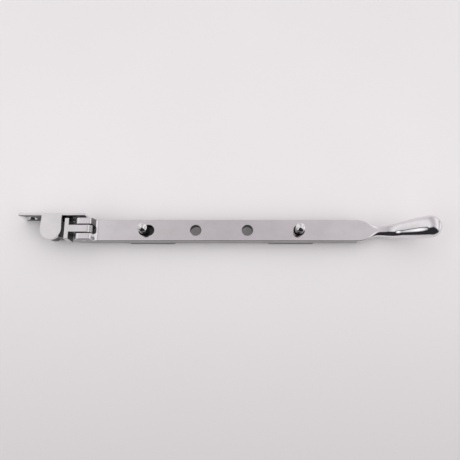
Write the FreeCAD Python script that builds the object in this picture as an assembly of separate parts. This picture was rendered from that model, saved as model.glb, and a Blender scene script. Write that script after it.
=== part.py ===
import FreeCAD, Part
import math
import os

# Casement window stay: a bar with a bulb handle, hinged to a swivelling knuckle on a
# screw-on bracket, resting over two pegs on short plates.  Millimetres.
# The outlines are drawn from the swivel pin: X runs along the closed bar towards the bulb,
# Y towards the fixing plate, Z up from the surface that the stay lies on.
# Each finished piece is then shifted so that the origin is the centre of the base.

# Overall
STAY_LENGTH = 252.0            # swivel pin to bulb tip
BAR_WIDTH = 14.6
BAR_THICKNESS = 5.5
BAR_BOTTOM = 3.3
HINGE_TOP = 14.1               # top of the fork arms, tongue and crossbar
EDGE = 0.4                     # rounding of the crossbar and plate edges
BAR_EDGE = 0.6                 # rounding of the bar's long edges

# Swivel bracket
PLATE_LENGTH = 44.0
PLATE_HEIGHT = 13.2
PLATE_THICKNESS = 2.0
PLATE_BACK = 10.8              # swivel pin to the plate's back face
EAR_RADIUS = 6.9               # upper ear
LOWER_EAR_RADIUS = 5.9
EAR_THICKNESS = 2.4
EAR_EDGE = 0.7
BRACKET_SCREW_SPACING = 31.0
SCREW_HOLE_RADIUS = 2.1
COUNTERSINK_RADIUS = 3.5
SWIVEL_PIN_RADIUS = 2.5
SWIVEL_PIN_CAP = 0.8           # metal left over the blind end of the pin's bore
RUNNING_GAP = 0.05

# Swivel link
EYE_RADIUS = 5.8
EYE_GAP = 0.2                  # above and below the eye, between the ears
WEB_WIDTH = 11.0
CROSSBAR_INNER = 9.2
CROSSBAR_THICKNESS = 2.7
CROSSBAR_WIDTH = 14.0
TONGUE_WIDTH = 4.8
TONGUE_END = 27.0

# Hinge and fork
HINGE_X = 21.0
HINGE_PIN_RADIUS = 2.0
KNUCKLE_ROUNDING = 3.2
FORK_START = 15.6
FORK_SHOULDER = 27.2
SHOULDER_ROUNDING = 2.1        # top of the drop from the fork to the bar
SLOT_WIDTH = 6.4
SLOT_END = 28.9
SLOT_CORNER = 2.2

# Peg holes in the bar
FIRST_HOLE_X = 60.1
HOLE_PITCH = 34.0
HOLE_COUNT = 4
HOLE_RADIUS = 3.75
FIRST_HOLE_STRETCH = 3.0       # the first hole is slotted towards the bulb

# Handle
TAPER_START = 200.5
ROUND_START = 206.0            # sections turn from rectangular to oval from here to the neck
NECK_X = 215.0
NECK_WIDTH = 7.6
NECK_HEIGHT = 6.8
BULB_WIDTH = 14.6
BULB_HEIGHT = 12.2
NOSE_LENGTH = 7.25             # bulb's widest place to its tip, along X when level
BULB_JOIN = 0.1                # the shank ends this much thinner, inside the bulb
RISE_START = 219.5
RISE_BEND = 11.0               # length over which the handle bends upwards
RISE_SLOPE = 0.65              # climb per millimetre beyond the bend
FLAT_EXPONENT = 12.0           # section squareness of the flat bar
ROUND_EXPONENT = 2.0           # section squareness of an oval
HANDLE_SECTIONS = 15
SECTION_POINTS = 40

# Peg plates and pegs
PEG_PLATE_LENGTH = 31.0
PEG_PLATE_THICKNESS = 3.0
PEG_PLATE_WIDTH = 14.6
PEG_PLATE_OVERHANG = 10.8      # from the peg to its plate's outer end
PEG_PLATE_CORNER = 1.5
PEG_PLATE_SCREWS = [-6.9, 13.1]  # from the peg, positive towards the bar's middle
PEG_SCREW_RADIUS = 1.8
PEG_SEAT_RADIUS = 3.1
PEG_RADIUS = 3.1
PEG_TOP = 18.0
PEG_DOME = 1.6
PEG_SPIGOT_RADIUS = 2.2

NEAR = 0.01                    # tolerance for finding edges by their place

# Derived places
PLATE_FRONT = PLATE_BACK - PLATE_THICKNESS
BAR_TOP = BAR_BOTTOM + BAR_THICKNESS
BAR_MIDDLE = BAR_BOTTOM + BAR_THICKNESS / 2
HINGE_Z = (BAR_BOTTOM + HINGE_TOP) / 2
EYE_BOTTOM = EAR_THICKNESS + EYE_GAP
EYE_TOP = PLATE_HEIGHT - EAR_THICKNESS - EYE_GAP
CROSSBAR_OUTER = CROSSBAR_INNER + CROSSBAR_THICKNESS
SHOULDER_FILLET = HINGE_TOP - BAR_TOP - SHOULDER_ROUNDING
BULB_X = STAY_LENGTH - NOSE_LENGTH
NEAR_PEG_X = FIRST_HOLE_X
FAR_PEG_X = FIRST_HOLE_X + (HOLE_COUNT - 1) * HOLE_PITCH
BASE_CENTRE = FreeCAD.Vector((STAY_LENGTH - PLATE_LENGTH / 2) / 2, (PLATE_BACK - PEG_PLATE_WIDTH / 2) / 2, 0)

Y_AXIS = FreeCAD.Vector(0, 1, 0)
Z_AXIS = FreeCAD.Vector(0, 0, 1)
THROUGH = 1.0                  # how far a cutter runs past the face it opens


def point(x, y, z):
    return FreeCAD.Vector(x, y, z)


def block(x_range, y_range, z_range):
    """A box given by its low and high corner along each axis."""
    size = [high - low for low, high in (x_range, y_range, z_range)]
    return Part.makeBox(*size, point(x_range[0], y_range[0], z_range[0]))


def arc(centre, radius, start_degrees, end_degrees, plane):
    """An arc about centre; plane maps two in-plane coordinates to a point."""
    places = []
    for angle in (start_degrees, (start_degrees + end_degrees) / 2, end_degrees):
        turn = math.radians(angle)
        places.append(plane(centre[0] + radius * math.cos(turn), centre[1] + radius * math.sin(turn)))
    return Part.Arc(*places).toShape()


def closed_outline(arcs):
    """A face whose edge is the given arcs, joined in order by straight lines."""
    edges = []
    for index, current in enumerate(arcs):
        following = arcs[(index + 1) % len(arcs)]
        edges.append(current)
        gap_start = current.lastVertex(True).Point
        gap_end = following.firstVertex(True).Point
        if gap_start.distanceToPoint(gap_end) > Part.Precision.confusion():
            edges.append(Part.makeLine(gap_start, gap_end))
    return Part.Face(Part.Wire(edges))


def plan(x, y):
    return point(x, y, 0)


def side(x, z):
    return point(x, 0, z)


def round_edges(shape, radius, chosen):
    """Round every edge of shape for which chosen(edge) holds."""
    return shape.makeFillet(radius, [edge for edge in shape.Edges if chosen(edge)])


def countersunk_cutter(mouth, direction, depth, hole_radius, seat_radius):
    """A screw hole with a conical seat at its mouth, cut along direction."""
    start = mouth - direction * THROUGH
    hole = Part.makeCylinder(hole_radius, depth + 2 * THROUGH, start, direction)
    seat = Part.makeCone(seat_radius + THROUGH, hole_radius, seat_radius - hole_radius + THROUGH, start, direction)
    return hole.fuse(seat)


def ear(radius, bottom):
    """One rounded ear, reaching back through the fixing plate."""
    rounded_end = arc((0, 0), radius, 180, 360, plan)
    root = Part.makePolygon([plan(radius, 0), plan(radius, PLATE_BACK), plan(-radius, PLATE_BACK), plan(-radius, 0)])
    solid = Part.Face(Part.Wire([rounded_end] + root.Edges)).extrude(Z_AXIS * EAR_THICKNESS)
    solid.translate(Z_AXIS * bottom)
    return solid


def swivel_bracket():
    """Fixing plate and the two rounded ears that hold the swivel pin, in one casting."""
    plate = block((-PLATE_LENGTH / 2, PLATE_LENGTH / 2), (PLATE_FRONT, PLATE_BACK), (0, PLATE_HEIGHT))
    ears = [ear(LOWER_EAR_RADIUS, 0), ear(EAR_RADIUS, PLATE_HEIGHT - EAR_THICKNESS)]
    body = plate.fuse(ears).removeSplitter()
    body = round_edges(body, EAR_EDGE, on_ear_rim)
    pin_bore = Part.makeCylinder(SWIVEL_PIN_RADIUS, PLATE_HEIGHT - SWIVEL_PIN_CAP)
    body = body.cut(pin_bore)
    for sign in (-1, 1):
        mouth = point(sign * BRACKET_SCREW_SPACING / 2, PLATE_FRONT, PLATE_HEIGHT / 2)
        hole = countersunk_cutter(mouth, Y_AXIS, PLATE_THICKNESS, SCREW_HOLE_RADIUS, COUNTERSINK_RADIUS)
        body = body.cut(hole)
    return body


def on_ear_rim(edge):
    """The rounded end's outer edges, on the bracket's top and bottom faces."""
    middle = edge.valueAt((edge.FirstParameter + edge.LastParameter) / 2)
    outer = math.isclose(middle.z, 0, abs_tol=NEAR) or math.isclose(middle.z, PLATE_HEIGHT, abs_tol=NEAR)
    level = edge.BoundBox.ZLength < NEAR
    return outer and level and middle.y < PLATE_FRONT / 2 + NEAR and abs(middle.x) < EAR_RADIUS + NEAR


def swivel_pin():
    """Pin pressed up through the lower ear into the blind bore of the upper ear."""
    return Part.makeCylinder(SWIVEL_PIN_RADIUS, PLATE_HEIGHT - SWIVEL_PIN_CAP)


def swivel_link():
    """Knuckle: an eye on the swivel pin, a crossbar and a tongue for the hinge."""
    eye = Part.makeCylinder(EYE_RADIUS, EYE_TOP - EYE_BOTTOM, point(0, 0, EYE_BOTTOM))
    web = block((0, CROSSBAR_INNER + THROUGH), (-WEB_WIDTH / 2, WEB_WIDTH / 2), (EYE_BOTTOM, EYE_TOP))
    crossbar = block((CROSSBAR_INNER, CROSSBAR_OUTER), (-CROSSBAR_WIDTH / 2, CROSSBAR_WIDTH / 2),
                     (BAR_BOTTOM, HINGE_TOP))
    crossbar = crossbar.makeFillet(EDGE, crossbar.Edges)
    tongue = tongue_outline().extrude(Y_AXIS * TONGUE_WIDTH)
    tongue.translate(point(0, -TONGUE_WIDTH / 2, 0))
    body = eye.fuse([web, crossbar, tongue]).removeSplitter()
    pin_bore = Part.makeCylinder(SWIVEL_PIN_RADIUS + RUNNING_GAP, PLATE_HEIGHT)
    hinge_bore = Part.makeCylinder(HINGE_PIN_RADIUS + RUNNING_GAP, TONGUE_WIDTH + 2 * THROUGH,
                                   point(HINGE_X, -TONGUE_WIDTH / 2 - THROUGH, HINGE_Z), Y_AXIS)
    return body.cut([pin_bore, hinge_bore])


def tongue_outline():
    """Side view of the tongue: straight from the crossbar, with a rounded free end."""
    start = CROSSBAR_INNER + CROSSBAR_THICKNESS / 2
    r = KNUCKLE_ROUNDING
    upper = arc((TONGUE_END - r, HINGE_TOP - r), r, 90, 0, side)
    lower = arc((TONGUE_END - r, BAR_BOTTOM + r), r, 0, -90, side)
    root = Part.makePolygon([side(TONGUE_END - r, BAR_BOTTOM), side(start, BAR_BOTTOM),
                             side(start, HINGE_TOP), side(TONGUE_END - r, HINGE_TOP)])
    nose = Part.makeLine(side(TONGUE_END, HINGE_TOP - r), side(TONGUE_END, BAR_BOTTOM + r))
    return Part.Face(Part.Wire([upper, nose, lower] + root.Edges))


def hinge_pin():
    """Pin pressed through both arms of the fork, free to turn in the tongue."""
    return Part.makeCylinder(HINGE_PIN_RADIUS, BAR_WIDTH, point(HINGE_X, -BAR_WIDTH / 2, HINGE_Z), Y_AXIS)


def bar_outline():
    """Side view of the fork and the flat bar: raised knuckle, curved drop, flat run."""
    r = KNUCKLE_ROUNDING
    s = SHOULDER_ROUNDING
    f = SHOULDER_FILLET
    end = TAPER_START
    return closed_outline([
        arc((FORK_START + r, HINGE_TOP - r), r, 180, 90, side),
        arc((FORK_SHOULDER - s, HINGE_TOP - s), s, 90, 0, side),
        arc((FORK_SHOULDER + f, BAR_TOP + f), f, 180, 270, side),
        Part.makeLine(side(end, BAR_TOP), side(end, BAR_BOTTOM)),
        arc((FORK_START + r, BAR_BOTTOM + r), r, 270, 180, side),
    ])


def fork_slot():
    """Slot between the fork's arms, open at the front, with rounded inner corners."""
    half = SLOT_WIDTH / 2
    r = SLOT_CORNER
    front = FORK_START - THROUGH
    slot = block((front, SLOT_END), (-half, half), (BAR_BOTTOM - THROUGH, HINGE_TOP + THROUGH))
    return round_edges(slot, r, lambda edge: abs(edge.CenterOfMass.x - SLOT_END) < NEAR
                       and edge.BoundBox.ZLength > 2 * THROUGH)


def peg_hole(index):
    """Cutter for one peg hole; the first is slotted so the bar can lift about its hinge."""
    x = FIRST_HOLE_X + index * HOLE_PITCH
    stretch = FIRST_HOLE_STRETCH if index == 0 else 0
    depth = BAR_THICKNESS + 2 * THROUGH
    cutter = Part.makeCylinder(HOLE_RADIUS, depth, point(x, 0, BAR_BOTTOM - THROUGH))
    if stretch:
        far = Part.makeCylinder(HOLE_RADIUS, depth, point(x + stretch, 0, BAR_BOTTOM - THROUGH))
        middle = block((x, x + stretch), (-HOLE_RADIUS, HOLE_RADIUS), (BAR_BOTTOM - THROUGH, BAR_TOP + THROUGH))
        cutter = cutter.fuse([far, middle]).removeSplitter()
    return cutter


def ease(value, start, end):
    """Smooth change from 0 at start to 1 at end, level at both ends."""
    t = min(max((value - start) / (end - start), 0), 1)
    return t * t * (3 - 2 * t)


def rise(x):
    """Height of the handle's centre line at x, and its slope there."""
    bend = min(max((x - RISE_START) / RISE_BEND, 0), 1)
    beyond = max(x - RISE_START - RISE_BEND, 0)
    height = BAR_MIDDLE + RISE_SLOPE * (RISE_BEND * bend ** 2 / 2 + beyond)
    return height, RISE_SLOPE * bend


def handle_section(x):
    """One cross-section of the handle, square to its rising centre line."""
    height, slope = rise(x)
    taper = ease(x, TAPER_START, NECK_X)
    swell = ease(x, NECK_X, BULB_X)
    wide = BAR_WIDTH + (NECK_WIDTH - BAR_WIDTH) * taper + (BULB_WIDTH - BULB_JOIN - NECK_WIDTH) * swell
    high = BAR_THICKNESS + (NECK_HEIGHT - BAR_THICKNESS) * taper + (BULB_HEIGHT - BULB_JOIN - NECK_HEIGHT) * swell
    power = FLAT_EXPONENT + (ROUND_EXPONENT - FLAT_EXPONENT) * ease(x, ROUND_START, NECK_X)
    tilt = math.atan(slope)
    places = []
    for index in range(SECTION_POINTS):
        angle = 2 * math.pi * index / SECTION_POINTS
        across = abs(2 * math.cos(angle) / wide) ** power
        up = abs(2 * math.sin(angle) / high) ** power
        reach = (across + up) ** (-1 / power)
        lift = reach * math.sin(angle)
        places.append(point(x - lift * math.sin(tilt), reach * math.cos(angle), height + lift * math.cos(tilt)))
    curve = Part.BSplineCurve()
    curve.interpolate(Points=places, PeriodicFlag=True)
    return Part.Wire(curve.toShape())


def bulb():
    """Slightly flattened ball at the handle's end, square to the rising centre line."""
    height, slope = rise(BULB_X)
    flatten = FreeCAD.Matrix()
    flatten.scale(NOSE_LENGTH, BULB_WIDTH / 2, BULB_HEIGHT / 2)
    ball = Part.makeSphere(1).transformGeometry(flatten)
    ball.rotate(point(0, 0, 0), Y_AXIS, -math.degrees(math.atan(slope)))
    ball.translate(point(BULB_X, 0, height))
    return ball


def handle():
    """Taper, oval neck and rising shank, ending in the bulb."""
    run = BULB_X - TAPER_START
    stations = [TAPER_START + run * index / (HANDLE_SECTIONS - 1) for index in range(HANDLE_SECTIONS)]
    shank = Part.makeLoft([handle_section(x) for x in stations], True)
    return shank.fuse(bulb())


def stay_bar():
    """Fork, flat bar with its peg holes, and bulb handle, forged in one piece."""
    flat = bar_outline().extrude(Y_AXIS * BAR_WIDTH)
    flat.translate(point(0, -BAR_WIDTH / 2, 0))
    flat = round_edges(flat, BAR_EDGE, on_bar_side)
    hinge_bore = Part.makeCylinder(HINGE_PIN_RADIUS, BAR_WIDTH + 2 * THROUGH,
                                   point(HINGE_X, -BAR_WIDTH / 2 - THROUGH, HINGE_Z), Y_AXIS)
    flat = flat.cut([fork_slot(), hinge_bore] + [peg_hole(index) for index in range(HOLE_COUNT)])
    return flat.fuse(handle())


def on_bar_side(edge):
    """The long outlines on the two sides of the bar, but not its end at the taper."""
    box = edge.BoundBox
    flat_on_side = box.YLength < NEAR and abs(abs(box.Center.y) - BAR_WIDTH / 2) < NEAR
    return flat_on_side and box.XMin < TAPER_START - NEAR


def peg_plate(peg_x, inward):
    """Short plate that carries one peg; inward is the direction of the bar's middle, 1 or -1."""
    outer = peg_x - inward * PEG_PLATE_OVERHANG
    inner = outer + inward * PEG_PLATE_LENGTH
    plate = block((min(outer, inner), max(outer, inner)),
                  (-PEG_PLATE_WIDTH / 2, PEG_PLATE_WIDTH / 2), (0, PEG_PLATE_THICKNESS))
    plate = round_edges(plate, PEG_PLATE_CORNER, lambda edge: edge.BoundBox.ZLength > NEAR)
    plate = round_edges(plate, EDGE, lambda edge: edge.BoundBox.ZMin > PEG_PLATE_THICKNESS - NEAR)
    plate = plate.cut(Part.makeCylinder(PEG_SPIGOT_RADIUS, PEG_PLATE_THICKNESS, point(peg_x, 0, 0)))
    for distance in PEG_PLATE_SCREWS:
        mouth = point(peg_x + inward * distance, 0, PEG_PLATE_THICKNESS)
        hole = countersunk_cutter(mouth, -Z_AXIS, PEG_PLATE_THICKNESS, PEG_SCREW_RADIUS, PEG_SEAT_RADIUS)
        plate = plate.cut(hole)
    return plate


def peg(x):
    """Round peg with a softly domed top and a spigot riveted through the plate."""
    shaft = Part.makeCylinder(PEG_RADIUS, PEG_TOP - PEG_DOME - PEG_PLATE_THICKNESS, point(x, 0, PEG_PLATE_THICKNESS))
    spigot = Part.makeCylinder(PEG_SPIGOT_RADIUS, PEG_PLATE_THICKNESS, point(x, 0, 0))
    dome_radius = (PEG_RADIUS ** 2 + PEG_DOME ** 2) / (2 * PEG_DOME)
    dome = Part.makeSphere(dome_radius, point(x, 0, PEG_TOP - dome_radius))
    sleeve = Part.makeCylinder(PEG_RADIUS, PEG_DOME, point(x, 0, PEG_TOP - PEG_DOME))
    return shaft.fuse([spigot, dome.common(sleeve)]).removeSplitter()


def save(name, shape):
    """Write one piece, moved from the swivel pin's frame to the base-centre frame."""
    placed = shape.copy()
    placed.translate(-BASE_CENTRE)
    placed.exportStep("parts/" + name + ".step")


os.makedirs("parts", exist_ok=True)
save("swivel_bracket", swivel_bracket())
save("swivel_pin", swivel_pin())
save("swivel_link", swivel_link())
save("hinge_pin", hinge_pin())
save("stay_bar", stay_bar())
save("near_plate", peg_plate(NEAR_PEG_X, 1))
save("near_peg", peg(NEAR_PEG_X))
save("far_plate", peg_plate(FAR_PEG_X, -1))
save("far_peg", peg(FAR_PEG_X))
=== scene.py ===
import math

import bmesh
import bpy
from mathutils import Matrix, Vector


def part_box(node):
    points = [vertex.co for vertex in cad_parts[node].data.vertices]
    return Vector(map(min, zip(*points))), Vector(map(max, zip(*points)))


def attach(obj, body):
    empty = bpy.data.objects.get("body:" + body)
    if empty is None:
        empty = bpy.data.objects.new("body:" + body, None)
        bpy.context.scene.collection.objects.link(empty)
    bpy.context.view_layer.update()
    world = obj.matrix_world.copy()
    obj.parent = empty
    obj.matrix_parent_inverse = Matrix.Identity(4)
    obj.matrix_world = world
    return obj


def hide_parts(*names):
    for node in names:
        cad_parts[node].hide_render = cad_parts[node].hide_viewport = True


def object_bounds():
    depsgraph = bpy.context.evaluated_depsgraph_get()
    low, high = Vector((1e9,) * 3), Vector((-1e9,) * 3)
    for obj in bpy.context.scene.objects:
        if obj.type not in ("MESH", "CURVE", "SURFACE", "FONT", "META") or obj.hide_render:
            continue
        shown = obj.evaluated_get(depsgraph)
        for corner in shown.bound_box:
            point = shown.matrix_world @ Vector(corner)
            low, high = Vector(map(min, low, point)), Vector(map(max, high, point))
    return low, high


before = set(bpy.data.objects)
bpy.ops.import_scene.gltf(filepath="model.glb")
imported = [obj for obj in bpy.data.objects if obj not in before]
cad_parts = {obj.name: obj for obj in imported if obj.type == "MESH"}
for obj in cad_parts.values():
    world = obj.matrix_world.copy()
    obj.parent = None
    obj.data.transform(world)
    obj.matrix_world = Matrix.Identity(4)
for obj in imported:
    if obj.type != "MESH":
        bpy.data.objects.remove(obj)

cad_low, cad_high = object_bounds()
scene = bpy.context.scene

# Everything below is drawn in millimetres from the swivel pin: X along the bar, Y towards
# the fixing plate, Z up.  TO_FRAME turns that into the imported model's metres.
MM = 0.001
pin_low, pin_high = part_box("swivel_pin")
bar_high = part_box("stay_bar")[1]
bracket_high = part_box("swivel_bracket")[1]
link_low, link_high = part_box("swivel_link")
hinge_low, hinge_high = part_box("hinge_pin")
near_plate_low, near_plate_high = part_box("near_plate")
far_plate_low, far_plate_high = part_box("far_plate")
near_low, near_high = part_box("near_peg")
far_low, far_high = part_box("far_peg")
SWIVEL = Vector(((pin_low.x + pin_high.x) / 2, (pin_low.y + pin_high.y) / 2, 0))
TO_FRAME = Matrix.Translation(SWIVEL) @ Matrix.Scale(MM, 4)


def from_pin(value, axis):
    """A frame coordinate in metres as millimetres from the swivel pin."""
    return (value - SWIVEL[axis]) / MM


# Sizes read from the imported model
BRACKET_HEIGHT = bracket_high.z / MM
PLATE_BACK = from_pin(bracket_high.y, 1)
PLATE_END = from_pin(bracket_high.x, 0)
HINGE_X = from_pin((hinge_low.x + hinge_high.x) / 2, 0)
HINGE_Z = (hinge_low.z + hinge_high.z) / 2 / MM
HINGE_PIN_RADIUS = (hinge_high.z - hinge_low.z) / 2 / MM
SWIVEL_PIN_RADIUS = (pin_high.x - pin_low.x) / 2 / MM
SWIVEL_PIN_TOP = pin_high.z / MM
BAR_HALF_WIDTH = (hinge_high.y - hinge_low.y) / 2 / MM
HINGE_TOP = link_high.z / MM
BAR_BOTTOM = link_low.z / MM
TONGUE_END = from_pin(link_high.x, 0)
BULB_TIP = from_pin(bar_high.x, 0)
NEAR_PEG_X = from_pin((near_low.x + near_high.x) / 2, 0)
FAR_PEG_X = from_pin((far_low.x + far_high.x) / 2, 0)
PEG_RADIUS = (near_high.x - near_low.x) / 2 / MM
PEG_TOP = near_high.z / MM
NEAR_PLATE = (from_pin(near_plate_low.x, 0), from_pin(near_plate_high.x, 0))
FAR_PLATE = (from_pin(far_plate_low.x, 0), from_pin(far_plate_high.x, 0))
PEG_PLATE_HALF = (near_plate_high.y - near_plate_low.y) / 2 / MM
PEG_PLATE_TOP = near_plate_high.z / MM

# Sizes that the boxes don't give
PLATE_THICKNESS = 2.0
EAR_RADIUS = 6.9
LOWER_EAR_RADIUS = 5.9
EAR_THICKNESS = 2.4
EAR_EDGE = 0.7
BRACKET_SCREW_X = 15.5
SCREW_RADIUS = 2.1
COUNTERSINK_RADIUS = 3.5
EYE_RADIUS = 5.8
EYE_GAP = 0.2
RUNNING_GAP = 0.05
WEB_HALF = 5.5
CROSSBAR_INNER = 9.2
CROSSBAR_OUTER = 11.9
CROSSBAR_HALF = 7.0
TONGUE_HALF = 2.4
KNUCKLE_ROUNDING = 3.2
FORK_START = 15.6
FORK_SHOULDER = 27.2
SHOULDER_ROUNDING = 2.1
BAR_TOP = 8.8
BAR_CORNER = 0.6
SLOT_HALF = 3.2
SLOT_END = 28.9
SLOT_CORNER = 2.2
HOLE_RADIUS = 3.75
HOLE_PITCH = (FAR_PEG_X - NEAR_PEG_X) / 3
FIRST_HOLE_STRETCH = 3.0
TAPER_START = 200.5
NECK_X = 215.0
ROUND_START = 206.0
NECK_WIDTH = 7.6
NECK_HEIGHT = 6.8
BULB_WIDTH = 14.6
BULB_HEIGHT = 12.2
NOSE_LENGTH = 7.25
RISE_START = 219.5
RISE_BEND = 11.0
RISE_SLOPE = 0.65
SPIGOT_RADIUS = 2.2
PEG_DOME = 1.6
PEG_ROUNDING = 0.6
PEG_PLATE_CORNER = 1.5
PEG_PLATE_SCREWS = (-6.9, 13.1)
PEG_SCREW_RADIUS = 1.8
PEG_SEAT_RADIUS = 3.1

BAR_MIDDLE = (BAR_BOTTOM + BAR_TOP) / 2
BULB_X = BULB_TIP - NOSE_LENGTH
SHOULDER_FILLET = HINGE_TOP - BAR_TOP - SHOULDER_ROUNDING
PLATE_FRONT = PLATE_BACK - PLATE_THICKNESS
EYE_BOTTOM = EAR_THICKNESS + EYE_GAP
EYE_TOP = BRACKET_HEIGHT - EAR_THICKNESS - EYE_GAP
PLATE_EDGE = 0.5
LINK_EDGE = 0.4
NEAR = 0.001
OVER = 1.0                     # how far a cutter runs past the face it opens
ROUND_STEPS = 64               # facets round a full circle

# Camera
CAMERA_TILT = math.radians(14.6)
CAMERA_DISTANCE = 0.3127
CAMERA_AIM = (1.8, 0.2, 0.0)   # off the middle of the bar's top face
CAMERA_LENS = 37.19
CAMERA_SENSOR = 36.0


# Painted shade on metal in sheltered places: the near-black tint and extra roughness given to marked faces
PAINTED_SHADE_TINT = (0.07, 0.072, 0.07)
PAINTED_SHADE_ROUGHNESS = 0.2

# Surroundings mirrored in the metal: brightness by the X of the direction looked in, the edge
# of the dark room in front by its Y, and an oval window with a dark rim
SKY = [
    (-1.0, (0.55, 0.54, 0.54)),
    (-0.75, (0.95, 0.94, 0.94)),
    (-0.5, (0.98, 0.97, 0.97)),
    (-0.3, (0.76, 0.74, 0.75)),
    (-0.05, (0.56, 0.53, 0.545)),
    (0.15, (0.64, 0.60, 0.62)),
    (0.35, (0.74, 0.71, 0.72)),
    (0.55, (1.1, 1.09, 1.1)),
    (0.74, (1.15, 1.15, 1.16)),
    (0.83, (0.35, 0.35, 0.36)),
    (0.87, (0.4, 0.4, 0.41)),
    (0.93, (1.3, 1.3, 1.3)),
]
ROOM = (0.03, 0.03, 0.033)
ROOM_EDGE = (-0.27, -0.07)
ROOM_CURVE = 0.3
ROOM_LEAN = 0.15
WINDOW_CENTRE = (-0.754, -0.354, 0.567)
WINDOW_ALONG = (-0.21, 0.91, 0.36)
WINDOW_HALF = (0.18, 0.33)
WINDOW_RIM = 0.07
WINDOW_LIGHT = (1.35, 1.34, 1.35)


# ---------------------------------------------------------------- mesh building

def arc_points(centre, radius, start, end, steps):
    """Points along an arc, given in degrees, both ends included."""
    turns = [math.radians(start + (end - start) * i / steps) for i in range(steps + 1)]
    return [(centre[0] + radius * math.cos(t), centre[1] + radius * math.sin(t)) for t in turns]


def new_piece(name, bm):
    """A mesh object from millimetre geometry, placed in the frame."""
    bmesh.ops.recalc_face_normals(bm, faces=bm.faces)
    bm.transform(TO_FRAME)
    mesh = bpy.data.meshes.new(name)
    bm.to_mesh(mesh)
    bm.free()
    piece = bpy.data.objects.new(name, mesh)
    scene.collection.objects.link(piece)
    return piece


def extruded(outline, low, high, axis="z"):
    """A closed prism: the outline drawn in X and Y (axis z) or in X and Z (axis y)."""
    bm = bmesh.new()
    if axis == "z":
        ends = [[bm.verts.new((u, v, t)) for u, v in outline] for t in (low, high)]
    else:
        ends = [[bm.verts.new((u, t, v)) for u, v in outline] for t in (low, high)]
    bm.faces.new(ends[0])
    bm.faces.new(ends[1])
    for i in range(len(outline)):
        j = (i + 1) % len(outline)
        bm.faces.new((ends[0][i], ends[0][j], ends[1][j], ends[1][i]))
    return bm


def lofted(rings):
    """Closed skin through rings of points that all have the same count."""
    bm = bmesh.new()
    loops = [[bm.verts.new(p) for p in ring] for ring in rings]
    for here, there in zip(loops, loops[1:]):
        for i in range(len(here)):
            j = (i + 1) % len(here)
            bm.faces.new((here[i], here[j], there[j], there[i]))
    bm.faces.new(loops[0])
    bm.faces.new(loops[-1])
    return bm


def turned(profile, place, axis="z", steps=ROUND_STEPS):
    """A solid of revolution from (radius, height) points, standing at place along axis."""
    rings = []
    for radius, height in profile:
        ring = []
        for i in range(steps):
            t = 2 * math.pi * i / steps
            u, v = radius * math.cos(t), radius * math.sin(t)
            offset = Vector((u, v, height)) if axis == "z" else Vector((u, height, v))
            ring.append(Vector(place) + offset)
        rings.append(ring)
    return lofted(rings)


def cylinder(radius, low, high, place, axis="z"):
    return turned([(radius, low), (radius, high)], place, axis)


def box(x_range, y_range, z_range):
    outline = [(x_range[0], y_range[0]), (x_range[1], y_range[0]), (x_range[1], y_range[1]), (x_range[0], y_range[1])]
    return extruded(outline, *z_range)


def rounded(bm, radius, chosen):
    """Round the edges of a millimetre shape for which chosen(its two end points) holds."""
    edges = [e for e in bm.edges if chosen(e.verts[0].co, e.verts[1].co)]
    bmesh.ops.bevel(bm, geom=edges, offset=radius, segments=4, profile=0.5, affect="EDGES")
    return bm


def apply_modifiers(piece):
    """Replace the piece's mesh by the result of its modifiers."""
    graph = bpy.context.evaluated_depsgraph_get()
    result = bpy.data.meshes.new_from_object(piece.evaluated_get(graph))
    old = piece.data
    piece.modifiers.clear()
    piece.data = result
    bpy.data.meshes.remove(old)


def combine(piece, others, operation):
    """Join or cut the piece with each of the others, which are used up."""
    for bm in others:
        tool = new_piece("tool", bm)
        step = piece.modifiers.new("step", "BOOLEAN")
        step.operation = operation
        step.solver = "EXACT"
        step.object = tool
        apply_modifiers(piece)
        bpy.data.objects.remove(tool)


def tidy_mesh(piece):
    """Merge stray points and make flat faces whole again after cutting."""
    bm = bmesh.new()
    bm.from_mesh(piece.data)
    bmesh.ops.remove_doubles(bm, verts=bm.verts, dist=2e-6)
    bmesh.ops.dissolve_limit(bm, angle_limit=math.radians(0.05), verts=bm.verts, edges=bm.edges)
    bm.to_mesh(piece.data)
    bm.free()


def soften(piece, width):
    """Round the sharp edges, and shade the result as polished metal."""
    tidy_mesh(piece)
    bevel = piece.modifiers.new("edges", "BEVEL")
    bevel.width = width * MM
    bevel.segments = 3
    bevel.limit_method = "ANGLE"
    bevel.angle_limit = math.radians(38)
    bevel.miter_outer = "MITER_ARC"
    bevel.use_clamp_overlap = True
    apply_modifiers(piece)
    for polygon in piece.data.polygons:
        polygon.use_smooth = True
    weighted = piece.modifiers.new("shading", "WEIGHTED_NORMAL")
    weighted.mode = "FACE_AREA_WITH_ANGLE"
    weighted.weight = 80
    weighted.keep_sharp = True


def mark_painted_shade(piece, shade_at):
    """Store how much shade is painted on each face, from the given function of its centre in mm and its normal,
    standing in for the shade of sheltered places.
    """
    to_mm = TO_FRAME.inverted()
    values = piece.data.attributes.new("painted_shade", "FLOAT", "FACE")
    for polygon in piece.data.polygons:
        values.data[polygon.index].value = shade_at(to_mm @ polygon.center, polygon.normal)


def finish_piece(piece, body, node, material):
    piece.data.materials.clear()
    piece.data.materials.append(material)
    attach(piece, body)
    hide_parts(node)


def countersunk(mouth, axis, hole, seat, thickness):
    """Cutter for a countersunk screw hole of radius hole, with its seat at the mouth."""
    profile = [(seat + OVER, -OVER), (hole, seat - hole), (hole, thickness + OVER)]
    if axis == "z":
        profile = [(radius, -depth) for radius, depth in reversed(profile)]
    return turned(profile, mouth, axis)


# ---------------------------------------------------------------- the pieces

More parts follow.
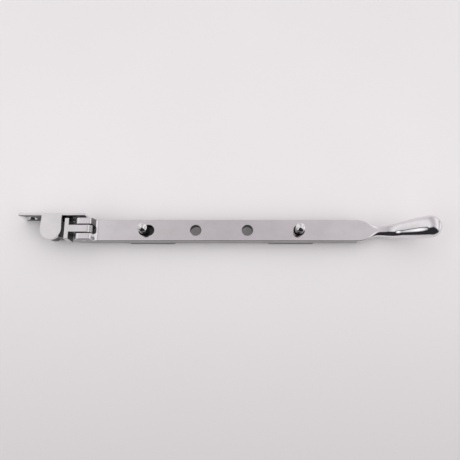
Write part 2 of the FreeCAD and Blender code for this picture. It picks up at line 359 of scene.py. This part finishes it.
def ear(radius, low, high, rim):
    """One ear of the bracket, its end rounded over at the height rim."""
    root = PLATE_BACK - PLATE_EDGE
    outline = [(-radius, root)] + arc_points((0, 0), radius, 180, 360, ROUND_STEPS // 2) + [(radius, root)]
    return rounded(extruded(outline, low, high), EAR_EDGE, lambda p, q: abs(p.z - rim) < NEAR
                   and abs(q.z - rim) < NEAR and min(p.y, q.y) < PLATE_FRONT)


def make_bracket(material):
    plate = rounded(box((-PLATE_END, PLATE_END), (PLATE_FRONT, PLATE_BACK), (0, BRACKET_HEIGHT)), PLATE_EDGE,
                    lambda p, q: True)
    piece = new_piece("swivel_bracket_polished", plate)
    combine(piece, [ear(EAR_RADIUS, BRACKET_HEIGHT - EAR_THICKNESS, BRACKET_HEIGHT, BRACKET_HEIGHT),
                    ear(LOWER_EAR_RADIUS, 0, EAR_THICKNESS, 0)], "UNION")
    bore = cylinder(SWIVEL_PIN_RADIUS, -OVER, SWIVEL_PIN_TOP, (0, 0, 0))
    holes = [countersunk((sign * BRACKET_SCREW_X, PLATE_FRONT, BRACKET_HEIGHT / 2), "y",
                         SCREW_RADIUS, COUNTERSINK_RADIUS, PLATE_THICKNESS) for sign in (-1, 1)]
    combine(piece, [bore] + holes, "DIFFERENCE")
    soften(piece, 0.12)
    # Painted shade on the faces between the ears: the ears' inner faces and the plate's front between them
    mark_painted_shade(piece, lambda c, n: float(abs(c.x) < EAR_RADIUS and EAR_THICKNESS - 0.1 < c.z < EYE_TOP + 0.3
                                          and (abs(n.z) > 0.9 or n.y < -0.9)))
    finish_piece(piece, "bracket", "swivel_bracket", material)


def make_swivel_pin(material):
    r = SWIVEL_PIN_RADIUS
    profile = [(r - 0.5, 0.02), (r - 0.2, 0.1), (r, 0.35), (r, SWIVEL_PIN_TOP - 0.3), (r - 0.3, SWIVEL_PIN_TOP)]
    piece = new_piece("swivel_pin_polished", turned(profile, (0, 0, 0)))
    soften(piece, 0.05)
    finish_piece(piece, "bracket", "swivel_pin", material)


def make_link(material):
    r = KNUCKLE_ROUNDING
    steps = ROUND_STEPS // 4
    start = (CROSSBAR_INNER + CROSSBAR_OUTER) / 2
    nose = arc_points((TONGUE_END - r, BAR_BOTTOM + r), r, -90, 0, steps)
    nose += arc_points((TONGUE_END - r, HINGE_TOP - r), r, 0, 90, steps)
    outline = [(start, HINGE_TOP), (start, BAR_BOTTOM)] + nose
    tongue = rounded(extruded(outline, -TONGUE_HALF, TONGUE_HALF, "y"), LINK_EDGE,
                     lambda p, q: abs(p.y - q.y) < NEAR and max(p.x, q.x) > start + NEAR)
    piece = new_piece("swivel_link_polished", tongue)
    crossbar = rounded(box((CROSSBAR_INNER, CROSSBAR_OUTER), (-CROSSBAR_HALF, CROSSBAR_HALF),
                           (BAR_BOTTOM, HINGE_TOP)), LINK_EDGE, lambda p, q: True)
    eye_outline = arc_points((0, 0), EYE_RADIUS, 56, 304, ROUND_STEPS)
    eye_outline += [(CROSSBAR_INNER + OVER, -WEB_HALF), (CROSSBAR_INNER + OVER, WEB_HALF)]
    eye = extruded(eye_outline, EYE_BOTTOM, EYE_TOP)
    combine(piece, [crossbar, eye], "UNION")
    pin_bore = cylinder(SWIVEL_PIN_RADIUS + RUNNING_GAP, -OVER, BRACKET_HEIGHT, (0, 0, 0))
    hinge_bore = cylinder(HINGE_PIN_RADIUS + RUNNING_GAP, -TONGUE_HALF - OVER, TONGUE_HALF + OVER,
                          (HINGE_X, 0, HINGE_Z), "y")
    combine(piece, [pin_bore, hinge_bore], "DIFFERENCE")
    soften(piece, 0.12)
    # Painted shade: full on the eye and web between the ears, heavy on the crossbar's face towards the fork and the
    # tongue's sides, half on the tongue's rounded nose
    mark_painted_shade(piece, lambda c, n: 1.0 if c.x < CROSSBAR_INNER + 0.1 and c.z < EYE_TOP + 0.1
                else 0.9 if n.x > 0.9 and c.x < FORK_START or abs(n.y) > 0.9 and abs(c.y) < SLOT_HALF
                else 0.45 if n.x > 0.45 and c.x > TONGUE_END - KNUCKLE_ROUNDING else 0.0)
    finish_piece(piece, "link", "swivel_link", material)


def make_hinge_pin(material):
    r, half = HINGE_PIN_RADIUS, BAR_HALF_WIDTH
    side = [(r, half - 0.4), (r - 0.12, half - 0.12), (r - 0.6, half - 0.02)]
    profile = [(radius, -height) for radius, height in reversed(side)] + side
    piece = new_piece("hinge_pin_polished", turned(profile, (HINGE_X, 0, HINGE_Z), "y"))
    soften(piece, 0.05)
    finish_piece(piece, "bar", "hinge_pin", material)


def ease(value, start, end):
    """Smooth change from 0 at start to 1 at end, level at both ends."""
    t = min(max((value - start) / (end - start), 0), 1)
    return t * t * (3 - 2 * t)


def section(centre, half_width, half_height, roundness, tilt=0.0):
    """One cross-section ring: a rectangle with rounded corners, an ellipse at roundness 1."""
    steps = ROUND_STEPS // 4 - 1
    corner_y = BAR_CORNER + (half_width - BAR_CORNER) * roundness
    corner_z = BAR_CORNER + (half_height - BAR_CORNER) * roundness
    flat, upright = half_width - corner_y, half_height - corner_z
    ring = []
    for side, up, start in ((1, 1, 0), (-1, 1, 90), (-1, -1, 180), (1, -1, 270)):
        for c, s in arc_points((0, 0), 1, start, start + 90, steps):
            y, z = side * flat + corner_y * c, up * upright + corner_z * s
            ring.append((centre[0] - z * math.sin(tilt), y, centre[1] + z * math.cos(tilt)))
    return ring


def fork_rings():
    """Sections from the fork's free end, over the raised knuckle, to the flat bar."""
    r, s, f = KNUCKLE_ROUNDING, SHOULDER_ROUNDING, SHOULDER_FILLET
    steps = 10
    rings = []
    for x, top in arc_points((FORK_START + r, HINGE_TOP - r), r, 180, 90, steps):
        half = top - HINGE_Z
        rings.append(section((x, HINGE_Z), BAR_HALF_WIDTH, half, 0))
    shoulder = arc_points((FORK_SHOULDER - s, HINGE_TOP - s), s, 90, 0, steps)
    drop = arc_points((FORK_SHOULDER + f, BAR_TOP + f), f, 180, 270, steps)
    for x, top in shoulder + drop[1:]:
        rings.append(section((x, (top + BAR_BOTTOM) / 2), BAR_HALF_WIDTH, (top - BAR_BOTTOM) / 2, 0))
    return rings


def rise(x):
    """Height of the handle's centre line at x, and its slope there."""
    bend = min(max((x - RISE_START) / RISE_BEND, 0), 1)
    beyond = max(x - RISE_START - RISE_BEND, 0)
    height = BAR_MIDDLE + RISE_SLOPE * (RISE_BEND * bend ** 2 / 2 + beyond)
    return height, RISE_SLOPE * bend


def handle_rings():
    """Sections of the taper, neck, bulb and nose, square to their rising centre line."""
    rings = []
    count = 70
    for i in range(count + 1):
        x = TAPER_START + (BULB_X - TAPER_START) * i / count
        height, slope = rise(x)
        taper = ease(x, TAPER_START, NECK_X)
        swell = ease(x, NECK_X, BULB_X)
        wide = 2 * BAR_HALF_WIDTH * (1 - taper) + NECK_WIDTH * taper + (BULB_WIDTH - NECK_WIDTH) * swell
        high = (BAR_TOP - BAR_BOTTOM) * (1 - taper) + NECK_HEIGHT * taper + (BULB_HEIGHT - NECK_HEIGHT) * swell
        roundness = ease(x, ROUND_START, NECK_X)
        rings.append(section((x, height), wide / 2, high / 2, roundness, math.atan(slope)))
    height, slope = rise(BULB_X)
    tilt = math.atan(slope)
    for degrees in list(range(5, 90, 5)) + [88]:
        turn = math.radians(degrees)
        reach = NOSE_LENGTH * math.sin(turn)
        centre = (BULB_X + reach * math.cos(tilt), height + reach * math.sin(tilt))
        rings.append(section(centre, BULB_WIDTH / 2 * math.cos(turn), BULB_HEIGHT / 2 * math.cos(turn), 1, tilt))
    return rings


def peg_hole(index):
    x = NEAR_PEG_X + index * HOLE_PITCH
    stretch = FIRST_HOLE_STRETCH if index == 0 else 0
    half_turn = ROUND_STEPS // 2
    outline = arc_points((x + stretch, 0), HOLE_RADIUS, -90, 90, half_turn)
    outline += arc_points((x, 0), HOLE_RADIUS, 90, 270, half_turn)
    if not stretch:
        outline = arc_points((x, 0), HOLE_RADIUS, 0, 360, ROUND_STEPS)[:-1]
    return extruded(outline, BAR_BOTTOM - OVER, BAR_TOP + OVER)


def bar_painted_shade(centre, normal):
    """Painted shade on the bar: the long sides, underside, slot and free ends get partial shade as partly sheltered
    places, the peg holes' walls full shade.
    """
    if centre.x > TAPER_START:
        return 0.0
    if abs(normal.y) > 0.9 and abs(centre.y) > BAR_HALF_WIDTH - 0.1:
        return 0.6
    if centre.x < SLOT_END + 0.1:
        inner_side = abs(normal.y) > 0.9 and abs(centre.y) < SLOT_HALF + 0.1
        slot_end = normal.x < 0 and FORK_SHOULDER < centre.x and abs(centre.y) < SLOT_HALF + 0.1 and abs(normal.z) < 0.5
        far_shoulder = normal.x > 0.5 and FORK_SHOULDER - 1 < centre.x and centre.y > SLOT_HALF
        return 0.9 if normal.x < -0.9 or inner_side or slot_end else 0.85 if far_shoulder else 0.0
    level = abs(normal.z) < 0.1 and abs(centre.y) < HOLE_RADIUS + 0.1
    underside = normal.z < -0.9
    return 1.0 if level else 0.6 if underside else 0.0


def make_bar(material):
    piece = new_piece("stay_bar_polished", lofted(fork_rings() + handle_rings()))
    half, r = SLOT_HALF, SLOT_CORNER
    steps = ROUND_STEPS // 4
    outline = [(FORK_START - OVER, half), (FORK_START - OVER, -half)]
    outline += arc_points((SLOT_END - r, -half + r), r, -90, 0, steps)
    outline += arc_points((SLOT_END - r, half - r), r, 0, 90, steps)
    slot = extruded(outline, BAR_BOTTOM - OVER, HINGE_TOP + OVER)
    bore = cylinder(HINGE_PIN_RADIUS, -BAR_HALF_WIDTH - OVER, BAR_HALF_WIDTH + OVER, (HINGE_X, 0, HINGE_Z), "y")
    combine(piece, [slot, bore] + [peg_hole(i) for i in range(4)], "DIFFERENCE")
    soften(piece, 0.22)
    mark_painted_shade(piece, bar_painted_shade)
    finish_piece(piece, "bar", "stay_bar", material)


def make_peg_plate(node, body, ends, peg_x, inward, material):
    """Short plate; inward is the direction of the bar's middle from its peg, 1 or -1."""
    c, half = PEG_PLATE_CORNER, PEG_PLATE_HALF
    outline = []
    corners = [(ends[1] - c, half - c, 0), (ends[0] + c, half - c, 90),
               (ends[0] + c, -half + c, 180), (ends[1] - c, -half + c, 270)]
    for x, y, turn in corners:
        outline += arc_points((x, y), c, turn, turn + 90, 8)
    piece = new_piece(node + "_polished", extruded(outline, 0, PEG_PLATE_TOP))
    cutters = [cylinder(SPIGOT_RADIUS, -OVER, PEG_PLATE_TOP + OVER, (peg_x, 0, 0))]
    cutters += [countersunk((peg_x + inward * distance, 0, PEG_PLATE_TOP), "z",
                            PEG_SCREW_RADIUS, PEG_SEAT_RADIUS, PEG_PLATE_TOP) for distance in PEG_PLATE_SCREWS]
    combine(piece, cutters, "DIFFERENCE")
    soften(piece, 0.3)
    # Painted shade: the plate's top under the bar nearly black, its long sides darkened
    mark_painted_shade(piece, lambda c, n: 0.9 if n.z > 0.9 and abs(c.y) < half - 1 else 0.7 if abs(n.y) > 0.5 else 0.0)
    finish_piece(piece, body, node, material)


def make_peg(node, body, x, material):
    """Peg with a rounded rim and domed top, and a spigot through the plate."""
    r, edge = PEG_RADIUS, PEG_ROUNDING
    rim_height = PEG_TOP - PEG_DOME + 0.3
    rim = arc_points((r - edge, rim_height - edge), edge, 0, 75, 6)
    rim_radius, rim_top = rim[-1]
    crown = []
    for i in range(1, 8):
        share = 1 - i / 8
        crown.append((rim_radius * share, rim_top + (PEG_TOP - rim_top) * (1 - share ** 2)))
    profile = [(SPIGOT_RADIUS - 0.2, 0.0), (SPIGOT_RADIUS, 0.2), (SPIGOT_RADIUS, PEG_PLATE_TOP),
               (r, PEG_PLATE_TOP)] + rim + crown + [(0.05, PEG_TOP)]
    piece = new_piece(node + "_polished", turned(profile, (x, 0, 0)))
    soften(piece, 0.08)
    # Painted shade on the peg's shaft and the faces below the dome, standing in for the shade in the bar's hole
    mark_painted_shade(piece, lambda c, n: 0.85 if n.z < 0.35 else 0.0)
    finish_piece(piece, body, node, material)


# ---------------------------------------------------------------- materials

def scaled_noise(tree, coordinates, scale, detail):
    """Noise whose grain is stretched: scale gives its frequency per metre along each axis."""
    mapping = tree.nodes.new("ShaderNodeMapping")
    mapping.inputs["Scale"].default_value = scale
    tree.links.new(coordinates, mapping.inputs["Vector"])
    noise = tree.nodes.new("ShaderNodeTexNoise")
    noise.inputs["Scale"].default_value = 1.0
    noise.inputs["Detail"].default_value = detail
    tree.links.new(mapping.outputs["Vector"], noise.inputs["Vector"])
    return noise.outputs["Fac"]


def ranged(tree, value, low, high, start=0.3, end=0.7):
    """The value's start..end spread over low..high."""
    spread = tree.nodes.new("ShaderNodeMapRange")
    spread.inputs["From Min"].default_value = start
    spread.inputs["From Max"].default_value = end
    spread.inputs["To Min"].default_value = low
    spread.inputs["To Max"].default_value = high
    tree.links.new(value, spread.inputs["Value"])
    return spread.outputs["Result"]


def blended(tree, factor, first, second):
    """Mix of two colours; each is a fixed colour or another node's output."""
    mix = tree.nodes.new("ShaderNodeMix")
    mix.data_type = "RGBA"
    tree.links.new(factor, mix.inputs["Factor"])
    for name, colour in (("A", first), ("B", second)):
        if isinstance(colour, tuple):
            mix.inputs[name].default_value = (*colour, 1)
        else:
            tree.links.new(colour, mix.inputs[name])
    return mix.outputs["Result"]


def calculated(tree, operation, first, second):
    """A Math node's result; each operand is a number or another node's output."""
    node = tree.nodes.new("ShaderNodeMath")
    node.operation = operation
    for index, value in enumerate((first, second)):
        if isinstance(value, (int, float)):
            node.inputs[index].default_value = value
        else:
            tree.links.new(value, node.inputs[index])
    return node.outputs["Value"]


def chrome(name, tint, grain, roughness=(0.03, 0.09), relief=0.08):
    """Polished plate: cloudy tint, fine polishing lines stretched by grain, and painted shade, a dark tint with duller
    finish, on faces marked as sheltered.
    """
    material = bpy.data.materials.new(name)
    material.use_nodes = True
    tree = material.node_tree
    shader = tree.nodes["Principled BSDF"]
    shader.inputs["Metallic"].default_value = 1.0
    place = tree.nodes.new("ShaderNodeTexCoord").outputs["Object"]
    clouds = scaled_noise(tree, place, (90, 130, 130), 3.0)
    lines = scaled_noise(tree, place, grain, 4.0)
    warm = tuple(0.965 * c for c in tint)
    cool = (tint[0] * 1.02, tint[1] * 1.02, tint[2] * 1.035)
    polished = blended(tree, ranged(tree, clouds, 0, 1), warm, cool)
    # Painted shade: the per-face shade mark blends the colour towards a near-black tint and raises the roughness
    painted_shade = tree.nodes.new("ShaderNodeAttribute")
    painted_shade.attribute_name = "painted_shade"
    tree.links.new(blended(tree, painted_shade.outputs["Fac"], polished, PAINTED_SHADE_TINT), shader.inputs["Base Color"])
    shine = ranged(tree, lines, roughness[0], roughness[1])
    dulled = tree.nodes.new("ShaderNodeMath")
    dulled.operation = "MULTIPLY_ADD"
    dulled.inputs[1].default_value = PAINTED_SHADE_ROUGHNESS
    tree.links.new(painted_shade.outputs["Fac"], dulled.inputs[0])
    tree.links.new(shine, dulled.inputs[2])
    tree.links.new(dulled.outputs["Value"], shader.inputs["Roughness"])
    bump = tree.nodes.new("ShaderNodeBump")
    bump.inputs["Strength"].default_value = relief
    bump.inputs["Distance"].default_value = 0.01 * MM
    tree.links.new(lines, bump.inputs["Height"])
    tree.links.new(bump.outputs["Normal"], shader.inputs["Normal"])
    return material


# ---------------------------------------------------------------- studio

def make_camera():
    data = bpy.data.cameras.new("camera")
    data.lens = CAMERA_LENS
    data.sensor_width = CAMERA_SENSOR
    camera = bpy.data.objects.new("camera", data)
    target = Vector(((cad_low.x + cad_high.x) / 2, SWIVEL.y, BAR_TOP * MM)) + Vector(CAMERA_AIM) * MM
    back = Vector((0, -math.sin(CAMERA_TILT), math.cos(CAMERA_TILT)))
    camera.location = target + back * CAMERA_DISTANCE
    camera.rotation_mode = "QUATERNION"
    camera.rotation_quaternion = (-back).to_track_quat("-Z", "Y")
    data.clip_start = 0.01
    scene.collection.objects.link(camera)
    scene.camera = camera


def make_floor():
    mesh = bpy.data.meshes.new("floor")
    half = 1.5
    mesh.from_pydata([(-half, -half, 0), (half, -half, 0), (half, half, 0), (-half, half, 0)], [], [(0, 1, 2, 3)])
    floor = bpy.data.objects.new("floor", mesh)
    scene.collection.objects.link(floor)
    material = bpy.data.materials.new("floor")
    material.use_nodes = True
    tree = material.node_tree
    shader = tree.nodes["Principled BSDF"]
    place = tree.nodes.new("ShaderNodeTexCoord").outputs["Object"]
    clouds = scaled_noise(tree, place, (9, 9, 9), 2.0)
    fibre = scaled_noise(tree, place, (900, 900, 900), 3.0)
    shade = blended(tree, ranged(tree, clouds, 0, 1), (0.79, 0.767, 0.775), (0.805, 0.782, 0.79))
    split = tree.nodes.new("ShaderNodeSeparateXYZ")
    tree.links.new(place, split.inputs["Vector"])
    # Painted shade: the floor's colour darkens towards the front (negative Y), standing in for the light falling off
    # there
    painted_front_shade = ranged(tree, split.outputs["Y"], 1, 0, -0.15, 0.02)
    tree.links.new(blended(tree, painted_front_shade, shade, (0.605, 0.585, 0.592)), shader.inputs["Base Color"])
    tree.links.new(ranged(tree, fibre, 0.7, 0.85), shader.inputs["Roughness"])
    shader.inputs["Specular IOR Level"].default_value = 0.2
    mesh.materials.append(material)


def make_light(name, place, size, power, along=(1, 0, 0)):
    """A softbox facing the stay, its first size lying along the given direction, unseen in the metal."""
    data = bpy.data.lights.new(name, "AREA")
    data.shape = "RECTANGLE"
    data.size, data.size_y = size
    data.energy = power
    light = bpy.data.objects.new(name, data)
    light.location = place
    back = Vector(place).normalized()
    across = back.cross(Vector(along)).normalized()
    light.rotation_mode = "QUATERNION"
    light.rotation_quaternion = Matrix((across.cross(back), across, back)).transposed().to_quaternion()
    light.visible_glossy = False
    scene.collection.objects.link(light)


def window_mask(tree, direction, margin, softness):
    """1 inside an oval window seen from the stay, fading to 0 at its edge widened by margin."""
    centre = Vector(WINDOW_CENTRE).normalized()
    across = centre.cross(Vector(WINDOW_ALONG)).normalized()
    parts = []
    for axis in (across, across.cross(centre), centre):
        dot = tree.nodes.new("ShaderNodeVectorMath")
        dot.operation = "DOT_PRODUCT"
        dot.inputs[1].default_value = axis
        tree.links.new(direction, dot.inputs[0])
        parts.append(dot.outputs["Value"])
    ahead = calculated(tree, "MAXIMUM", parts[2], 0.01)
    squares = []
    for part, half in zip(parts, WINDOW_HALF):
        offset = calculated(tree, "DIVIDE", calculated(tree, "DIVIDE", part, ahead), half + margin)
        squares.append(calculated(tree, "MULTIPLY", offset, offset))
    return ranged(tree, calculated(tree, "ADD", *squares), 1, 0, 1 - softness, 1)


def make_world():
    """Bright studio behind and overhead, dark room in front, where the camera stands."""
    world = bpy.data.worlds.new("studio")
    world.use_nodes = True
    tree = world.node_tree
    background = tree.nodes["Background"]
    place = tree.nodes.new("ShaderNodeTexCoord")
    split = tree.nodes.new("ShaderNodeSeparateXYZ")
    tree.links.new(place.outputs["Generated"], split.inputs["Vector"])
    sideways = tree.nodes.new("ShaderNodeMapRange")
    sideways.inputs["From Min"].default_value = -1
    tree.links.new(split.outputs["X"], sideways.inputs["Value"])
    sky = tree.nodes.new("ShaderNodeValToRGB")
    sky.color_ramp.interpolation = "B_SPLINE"
    for x, colour in SKY:
        stop = sky.color_ramp.elements.new((x + 1) / 2)
        stop.color = (*colour, 1)
    sky.color_ramp.elements.remove(sky.color_ramp.elements[0])
    sky.color_ramp.elements.remove(sky.color_ramp.elements[-1])
    tree.links.new(sideways.outputs["Result"], sky.inputs["Fac"])
    front = tree.nodes.new("ShaderNodeMapRange")
    front.interpolation_type = "SMOOTHSTEP"
    front.inputs["From Min"].default_value = ROOM_EDGE[0]
    front.inputs["From Max"].default_value = ROOM_EDGE[1]
    widening = calculated(tree, "MULTIPLY", calculated(tree, "ABSOLUTE", split.outputs["X"], 0), ROOM_CURVE)
    leaning = calculated(tree, "MULTIPLY", split.outputs["X"], ROOM_LEAN)
    edge = calculated(tree, "ADD", calculated(tree, "ADD", widening, leaning), split.outputs["Y"])
    tree.links.new(edge, front.inputs["Value"])
    studio = blended(tree, front.outputs["Result"], ROOM, sky.outputs["Color"])
    direction = place.outputs["Generated"]
    studio = blended(tree, window_mask(tree, direction, WINDOW_RIM, 0.3), studio, ROOM)
    studio = blended(tree, window_mask(tree, direction, 0.0, 1.0), studio, WINDOW_LIGHT)
    tree.links.new(studio, background.inputs["Color"])
    scene.world = world


scene.view_settings.view_transform = "Standard"
make_world()
make_camera()
make_floor()
make_light("overhead", (0.05, 0.3, 1.05), (3.0, 2.4), 8.0)
make_light("left_side", (-0.95, -0.65, 0.6), (1.6, 1.2), 7.0, along=(0, 1, 0))
make_light("right_side", (0.95, -0.6, 0.6), (1.6, 1.2), 5.5, along=(0, 1, 0))
casting = chrome("casting_chrome", (0.8, 0.785, 0.79), (400, 400, 900))
forging = chrome("bar_chrome", (0.79, 0.765, 0.78), (60, 2600, 1200))
strip = chrome("plate_chrome", (0.6, 0.59, 0.6), (80, 1800, 900), (0.2, 0.35))
turning = chrome("peg_chrome", (0.8, 0.785, 0.79), (300, 300, 3200))
pins = chrome("pin_chrome", (0.66, 0.655, 0.66), (900, 900, 900), (0.12, 0.25))
make_bracket(casting)
make_swivel_pin(pins)
make_link(casting)
make_hinge_pin(pins)
make_bar(forging)
make_peg_plate("near_plate", "near_rest", NEAR_PLATE, NEAR_PEG_X, 1, strip)
make_peg("near_peg", "near_rest", NEAR_PEG_X, turning)
make_peg_plate("far_plate", "far_rest", FAR_PLATE, FAR_PEG_X, -1, strip)
make_peg("far_peg", "far_rest", FAR_PEG_X, turning)
